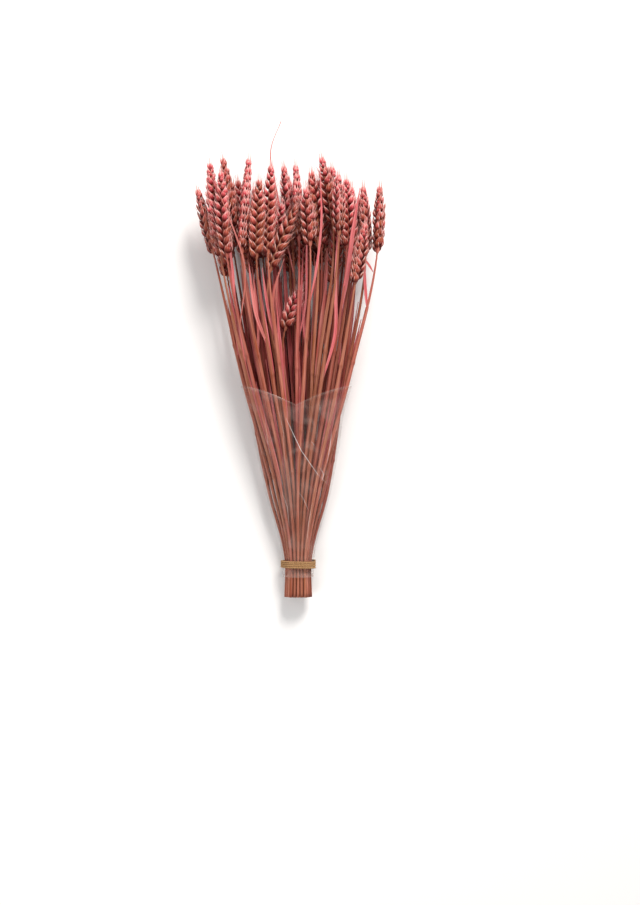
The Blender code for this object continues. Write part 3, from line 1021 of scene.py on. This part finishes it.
def makeLeaf(strand, width, dye, shade, draw):
    length = strand.places[-1]
    rows = max(leafShape["fewestRows"], int(length / leafShape["step"]))
    deselect()
    bpy.ops.mesh.primitive_grid_add(x_subdivisions=leafShape["columns"], y_subdivisions=rows, size=2)
    made = bpy.context.object
    mesh = made.data
    x, y, _ = coordinates(mesh).T
    share = (y + 1) / 2
    at = share * length
    ahead = unit(strand.line(np.minimum(at + 1, length)) - strand.line(np.maximum(at - 1, 0)))
    twist = np.radians(draw.uniform(-leafShape["twist"], leafShape["twist"])) * share
    twist = twist + np.radians(draw.uniform(-leafShape["tilt"], leafShape["tilt"]))
    flat = unit(np.stack((ahead[:, 1], -ahead[:, 0], 0 * at), axis=1))
    up = np.cross(flat, ahead)
    across = flat * np.cos(twist)[:, None] + up * np.sin(twist)[:, None]
    normal = np.cross(across, ahead)
    start, grow = leafShape["rootWidth"]
    narrow, end, power = leafShape["tipWidth"]
    half = leafShape["slim"] * width / 2 * np.clip(start + grow * share, 0, 1)
    half = np.maximum(half * np.clip(narrow * (1 - share), end, 1) ** power, leafShape["least"])
    fold = leafShape["fold"] * np.abs(x) * half
    ripple = np.sin(at / draw.uniform(*leafShape["rippleLength"]) + draw.uniform(0, 6))
    wave = leafShape["ripple"] * x * ripple * share
    placePoints(mesh, strand.line(at) + across * (x * half)[:, None] + normal * (fold + wave)[:, None])
    setValue(mesh, "along", share)
    setValue(mesh, "mark", np.where(np.abs(x) < 0.1, leafShape["rib"], 0.0))
    setValue(mesh, "tone_and_shade", shade)
    setValue(mesh, "dye", np.clip(dye + leafShape["dyeRise"] * share, 0, 1))
    setGrain(mesh, x * leafShape["fibres"], at, draw.uniform(0, 50))
    mesh.materials.append(leafMaterial)
    addWall(made, leafShape["wall"], 0)
    return made


# Each stalk whole: straw, ear and leaves

# (row, place): how pink the ears in front are, where it differs from the rest
earDye = {
    (0, 0): 0.8, (0, 1): 0.3, (0, 2): 0.5, (0, 3): 0.8, (0, 4): 0.5,
    (1, 0): 0.9, (1, 1): 0.95, (1, 2): 0.7, (1, 3): 0.6, (1, 4): 0.9, (1, 5): 0.5,
    (2, 0): 0.4, (2, 1): 0.3, (2, 2): 0.2, (2, 3): 0.9, (2, 4): 0.5, (2, 5): 0.9, (2, 6): 0.6,
}


def bend(mesh, strand, turn):  # from a straight stalk along Y to its own line in the bunch
    x, y, z = coordinates(mesh).T
    at = np.clip(y, strand.places[0] + 1, strand.places[-1] - 1)
    ahead = unit(strand.line(at + 1.0) - strand.line(at - 1.0))
    side = np.array((math.cos(math.radians(turn)), 0, math.sin(math.radians(turn))))
    side = unit(side - ahead * (ahead @ side)[:, None])
    up = np.cross(side, ahead)
    placePoints(mesh, strand.line(at) + ahead * (y - at)[:, None] + side * x[:, None] + up * z[:, None])


def makeWheat(number, draw):
    stalk, name = stalks[number], f"wheat_{number + 1:02d}"
    dye = earDye.get(stalk[:2], draw.uniform(*ear["dye"]))
    made = joined([makeStraw(stalk, draw.choice(straw["dyes"]), draw)] + makeEar(stalk, dye, draw), name)
    bend(made.data, strands[number], stalk.turn)
    deep = stalk.row * leafShape["shadeByRow"]
    sheets = [(strand, width, 0.0) for strand, width in ownStrands(number)]
    sheets += [(strand, width, deep) for strand, width in dryStrands(number, draw)]
    pieces = [made]
    for strand, width, dark in sheets:
        shade = min(1.0, dark + draw.uniform(0, leafShape["shade"]))
        pieces.append(makeLeaf(strand, width, draw.choice(leafShape["dyes"]), shade, draw))
    made = joined(pieces, name)
    points = coordinates(made.data)
    points[:, 2] = np.clip(points[:, 2], 0.0, cadBox[1][2] + mm)
    setCoordinates(made.data, points)
    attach(made, "root")
    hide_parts(f"stalk_{number + 1:02d}")


stalkDraw = random.Random(straw["seed"])
for number in range(len(stalks)):
    makeWheat(number, stalkDraw)
bpy.data.objects.remove(huskModel)
bpy.data.objects.remove(beardedModel)
print("stalks", len(stalks))


# The clear sleeve

sleeve = {
    "room": 3.4,
    "rimRoom": 5.0,
    "waist": 6.0,
    "stations": (-15.0, -6.0, 6.0, 22.0, 50.0, 84.0, 126.0, 166.0, 204.0),
    "columns": 32,
    "rimDip": 22.0,
    "around": 5,  # finer columns to each column
    "rise": 4.0,  # mm between finer rings
    "wall": 0.15,
    "slack": 0.9,
    "pleats": 26,  # gathered at the tie
    "pleatLength": 26.0,
    "waves": ((5, 17), (3, -29)),  # to a turn, and mm along for one radian of slant
    "wavesFrom": 60,
    "lowest": 0.3,
    # painted highlight: a faint bright line along the film's two cut ends
    "rimCrease": 0.12,
}


def ringRound(y, room):  # the hull of the stems at y, with some room round it
    stems = np.concatenate([s.line([y]) for s in strands])[:, (0, 2)]
    middle = (stems.min(axis=0) + stems.max(axis=0)) / 2
    angle = np.arange(sleeve["columns"]) / sleeve["columns"] * 2 * math.pi
    out = np.stack((np.cos(angle), np.sin(angle)), axis=1)
    support = ((stems - middle) @ out.T).max(axis=0) + room
    facing = np.maximum(out @ out.T, 1e-3)
    reach = (support[None, :] / facing).min(axis=1)
    across = middle + out * reach[:, None]
    return np.stack((across[:, 0], np.full(sleeve["columns"], float(y)), across[:, 1]), axis=1)


def sleeveRings():
    rings = []
    for y in sleeve["stations"]:
        room = sleeve["room"] + (sleeve["rimRoom"] - sleeve["room"]) * max(0.0, y) / bunch["rim"]
        ring = ringRound(sleeve["waist"] if abs(y) <= sleeve["waist"] else y, room)
        ring[:, 1] = y
        if y == bunch["rim"]:
            middle = (ring[:, 0].min() + ring[:, 0].max()) / 2
            inward = 1 - np.abs(ring[:, 0] - middle) / (ring[:, 0].max() - middle)
            ring[:, 1] -= sleeve["rimDip"] * inward**1.5
        rings.append(ring)
    return np.array(rings)


filmLook = {
    "color": srgb(206, 176, 166),
    # painted highlight: the white of the creases and of the film's cut ends
    "line": srgb(255, 250, 248),
    "alpha": 0.025,
    "haze": ((0.48, 0.0), (0.72, 0.09)),
    "hazeScale": 26.0,
    "hazeDistortion": 1.6,
    "crease": 0.75,
    "roughness": 0.14,
    "wrinkleScale": 60.0,
    "wrinkleDistortion": 2.0,
    "bump": (0.5, 0.002),
}


def makeFilmMaterial(look):
    material, tree, shader = newMaterial("clearFilm", Roughness=look["roughness"], IOR=1.5)
    place, crease = objectPlace(tree), attribute(tree, "crease")
    haze = noiseNode(tree, place, look["hazeScale"], distortion=look["hazeDistortion"])
    veil = mathNode(tree, "ADD", rampNode(tree, haze, look["haze"]), look["alpha"])
    # painted highlight: the creases are whiter and less clear
    line = mathNode(tree, "MULTIPLY", crease, look["crease"])
    alpha = mathNode(tree, "ADD", veil, line, clamp=True)
    plug(tree, shader, {"Alpha": alpha, "Base Color": mixColor(tree, crease, look["color"], look["line"])})
    wrinkle = noiseNode(tree, place, look["wrinkleScale"], distortion=look["wrinkleDistortion"])
    addBump(tree, shader, wrinkle, *look["bump"])
    return material


filmRings = sleeveRings()


def filmPoint(angle, height):  # on the wrinkled film, by the turn round it and the place along it
    along, columns = np.array(sleeve["stations"]), sleeve["columns"]
    column = (angle % (2 * math.pi)) / (2 * math.pi) * columns
    low = np.floor(column + 1e-6).astype(int) % columns
    part = np.clip(column - np.floor(column + 1e-6), 0, 1)[:, None]
    station = np.clip(np.searchsorted(along, height, side="right") - 1, 0, len(along) - 2)
    up = ((height - along[station]) / (along[station + 1] - along[station]))[:, None]
    near = filmRings[station, low] * (1 - part) + filmRings[station, (low + 1) % columns] * part
    far = filmRings[station + 1, low] * (1 - part) + filmRings[station + 1, (low + 1) % columns] * part
    outward = np.stack((np.cos(angle), 0 * angle, np.sin(angle)), axis=1)
    pleat = 0.5 * (1 + np.sin(angle * sleeve["pleats"])) * np.exp(-((height / sleeve["pleatLength"]) ** 2))
    wave = 1.0
    for turns, slant in sleeve["waves"]:
        wave = wave * np.sin(angle * turns + height / slant)
    loose = 0.5 * (1 + wave) * np.clip(height / sleeve["wavesFrom"], 0, 1)
    points = near * (1 - up) + far * up + outward * (sleeve["slack"] * (pleat + loose))[:, None]
    points[:, 2] = np.maximum(points[:, 2], sleeve["lowest"])
    return points, outward


def openTube(name, around, rows):  # a cylinder without ends; gives each vertex's turn and share too
    deselect()
    bpy.ops.mesh.primitive_cylinder_add(vertices=around, radius=1, depth=1, end_fill_type="NOTHING")
    made = bpy.context.object
    made.name = name
    cutRows(made, rows - 1)
    x, y, z = coordinates(made.data).T
    return made, np.arctan2(y, x) % (2 * math.pi), z + 0.5


crease = {
    "sides": 4,
    "radius": 0.32,
    "ends": 0.25,  # share of the radius at its ends
    "faint": 0.6,  # share of the radius that the faintest has
    "rise": 0.25,  # of its middle above the film
    "step": 2.5,
    "fewestRows": 4,
    "front": 0.05,  # radians left out at the film's two sides
    "looks": 60,  # places round the front where its x is read
}
# Creases that show: points (x, y) in mm from the tie on the film's front, and how strong they are, in
# thickness and in painted highlight
creases = (
    (((-13.7, 167.6), (3.4, 131.0), (22.8, 102.6), (33.0, 93.0)), 1.0),
    (((24.0, 112.0), (29.0, 104.0), (27.0, 96.0)), 0.9),
    (((-24.0, 190.0), (-16.0, 150.0), (-15.0, 110.0)), 0.35),
    (((38.0, 150.0), (36.0, 134.0), (33.0, 118.0)), 0.8),
    (((-14.0, 100.0), (-4.0, 110.0), (8.0, 112.0)), 0.35),
    (((0.0, 84.0), (6.0, 76.0), (12.0, 62.0)), 0.6),
    (((-18.0, 84.0), (-12.0, 66.0), (-10.0, 44.0)), 0.5),
    (((16.0, 70.0), (12.0, 48.0), (10.0, 26.0)), 0.5),
    (((15.0, 141.0), (19.0, 136.0)), 0.8),
    (((-38.0, 176.0), (-34.0, 140.0), (-28.0, 110.0)), 0.3),
)


def frontTurn(height, across):  # the turn round the film where its front has this x
    angles = np.linspace(crease["front"], math.pi - crease["front"], crease["looks"])
    row, _ = filmPoint(angles, np.full(crease["looks"], height))
    return np.interp(-across, -row[:, 0], angles)


def makeCrease(path, strength):  # a thin pinched fold standing on the film
    x, y = np.array(path).T
    gone = lengthsAlong(path)
    rows = max(crease["fewestRows"], int(gone[-1] / crease["step"]))
    made, turn, share = openTube("crease", crease["sides"], rows)
    at = share * gone[-1]
    height = np.interp(at, gone, y)
    angle = np.array([frontTurn(*place) for place in zip(height, np.interp(at, gone, x))])
    middle, outward = filmPoint(angle, height)
    swell = crease["ends"] + (1 - crease["ends"]) * np.sin(np.pi * share)
    thick = crease["radius"] * swell * (crease["faint"] + (1 - crease["faint"]) * strength)
    sideways = np.stack((outward[:, 2], 0 * share, -outward[:, 0]), axis=1)
    out = outward * (crease["rise"] + np.sin(turn) * thick)[:, None]
    placePoints(made.data, middle + out + sideways * (np.cos(turn) * thick)[:, None])
    # painted highlight: how much the film's material whitens this crease
    setValue(made.data, "crease", strength)
    recalculate(made, holes=crease["sides"])
    return made


def makeSleeve():
    low, high = sleeve["stations"][0], sleeve["stations"][-1]
    around, rows = sleeve["columns"] * sleeve["around"], int((high - low) / sleeve["rise"])
    made, angle, share = openTube("film_sleeve", around, rows)
    points, _ = filmPoint(angle, low + share * (high - low))
    placePoints(made.data, points)
    # painted highlight: a faint bright line along the film's two cut ends
    setValue(made.data, "crease", np.where((share > 0.999) | (share < 0.001), sleeve["rimCrease"], 0.0))
    recalculate(made)
    addWall(made, sleeve["wall"], 1)
    made = joined([made] + [makeCrease(path, strength) for path, strength in creases], "film_sleeve")
    made.data.materials.append(makeFilmMaterial(filmLook))
    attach(made, "root")
    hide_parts("sleeve")


makeSleeve()
print("sleeve")


# The tie: two-ply twine wound round the sleeve's waist

tie = {
    "turns": 4,
    "pitch": 2.05,
    "plies": 2,
    "ply": 0.62,
    "plyOut": 0.8,  # how far a ply's middle is from the twine's, of its radius
    "lay": 4.2,
    "room": 5.3,
    "lowest": 1.25,
    "step": 0.55,
    "sides": 2,
    "merge": 0.00001,
}
twineLook = {
    "fluff": 1400.0,
    "colors": ((0.3, srgb(124, 88, 54)), (0.55, srgb(176, 134, 88)), (0.75, srgb(214, 178, 130))),
    "bump": (0.7, 0.0004),
}


def makeTwineMaterial(look):
    material, tree, shader = newMaterial("twineNatural", Roughness=0.85)
    fluff = noiseNode(tree, objectPlace(tree), look["fluff"])
    plug(tree, shader, {"Base Color": rampNode(tree, fluff, look["colors"])})
    addBump(tree, shader, fluff, *look["bump"])
    return material


def tiePath():  # the middle of the twine, its turns side by side, and each point's share
    ring = ringRound(sleeve["waist"], tie["room"])
    closed = np.concatenate((ring, ring[:1]))
    gone = lengthsAlong(closed[:, (0, 2)])
    length = gone[-1] * tie["turns"]
    share = np.linspace(0, 1, int(length / tie["step"]))
    at = share * length % gone[-1]
    x = np.interp(at, gone, closed[:, 0])
    z = np.maximum(np.interp(at, gone, closed[:, 2]), tie["lowest"])
    y = (share - 0.5) * tie["pitch"] * tie["turns"]
    return np.stack((x, y, z), axis=1), share, length


def makePly(points):
    curve = bpy.data.curves.new("ply", "CURVE")
    curve.dimensions = "3D"
    curve.bevel_depth = tie["ply"] * mm
    curve.bevel_resolution = tie["sides"]
    curve.use_fill_caps = True
    spline = curve.splines.new("POLY")
    spline.points.add(len(points) - 1)
    points = (points + origin) * mm
    spline.points.foreach_set("co", np.concatenate((points, np.ones((len(points), 1))), axis=1).ravel())
    made = bpy.data.objects.new("ply", curve)
    bpy.context.scene.collection.objects.link(made)
    pick(made)
    bpy.ops.object.convert(target="MESH")
    made = bpy.context.object
    recalculate(made, merge=tie["merge"])
    bpy.ops.object.shade_smooth()
    return made


def makeTie():
    middle, share, length = tiePath()
    ahead = unit(np.gradient(middle, axis=0))
    out = unit(np.cross(ahead, np.array((0.0, 1.0, 0.0))))
    up = np.cross(out, ahead)
    plies = []
    for ply in range(tie["plies"]):
        angle = share * length / tie["lay"] * 2 * math.pi + ply * 2 * math.pi / tie["plies"]
        off = out * np.cos(angle)[:, None] + up * np.sin(angle)[:, None]
        plies.append(makePly(middle + off * tie["ply"] * tie["plyOut"]))
    made = joined(plies, "twine_tie")
    made.data.materials.append(makeTwineMaterial(twineLook))
    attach(made, "root")
    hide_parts("tie")


makeTie()
print("tie")


# Floor, light and camera

stage = {
    "pixel": 1.14,  # mm on the bunch to a pixel of the photograph
    "frame": (640, 905),
    "tiePixel": (298, 565),  # where the tie is, or would be, in the photograph
    "sensor": 36,
    "distance": 2400.0,
    "level": 40.0,
    "floor": 6.0,
    "floorColor": srgb(244, 243, 242),
    "window": ((0.6, 1.6, 1.5), 0.9, 60, (1.0, 0.97, 0.94)),  # place, size, energy and colour, in metres
    "fill": ((-1.2, -0.9, 1.6), 1.6, 15, (1.0, 0.98, 0.97)),
    "room": 0.5,
}


def makeFloor():
    deselect()
    bpy.ops.mesh.primitive_plane_add(size=stage["floor"], location=(0, 0, 0))
    floor = bpy.context.object
    floor.name = "floor"
    floor.data.materials.append(newMaterial("paleFloor", Roughness=0.9, Base_Color=stage["floorColor"])[0])


def addLight(name):
    place, size, energy, color = stage[name]
    light = bpy.data.lights.new(name, "AREA")
    light.shape = "DISK"
    light.size = size
    light.energy = energy
    light.color = color
    lamp = bpy.data.objects.new(name, light)
    lamp.location = place
    bpy.context.scene.collection.objects.link(lamp)
    lamp.rotation_euler = (-lamp.location).to_track_quat("-Z", "Y").to_euler()


def lightRoom():
    world = bpy.data.worlds.new("room")
    world.use_nodes = True
    background = world.node_tree.nodes["Background"]
    background.inputs[0].default_value = (1, 1, 1, 1)
    background.inputs[1].default_value = stage["room"]
    bpy.context.scene.world = world


def makeCamera():
    width, height = stage["frame"]
    pixelX, pixelY = stage["tiePixel"]
    x = origin[0] + (width / 2 - pixelX) * stage["pixel"]
    y = origin[1] + (pixelY - height / 2) * stage["pixel"]
    data = bpy.data.cameras.new("camera")
    data.sensor_width = stage["sensor"]
    data.lens = stage["sensor"] * stage["distance"] / (height * stage["pixel"])
    camera = bpy.data.objects.new("camera", data)
    camera.location = (x * mm, y * mm, (stage["distance"] + stage["level"]) * mm)
    bpy.context.scene.collection.objects.link(camera)
    bpy.context.scene.camera = camera


makeFloor()
addLight("window")
addLight("fill")
lightRoom()
bpy.context.scene.view_settings.view_transform = "Standard"
makeCamera()
print("floor, light and camera")
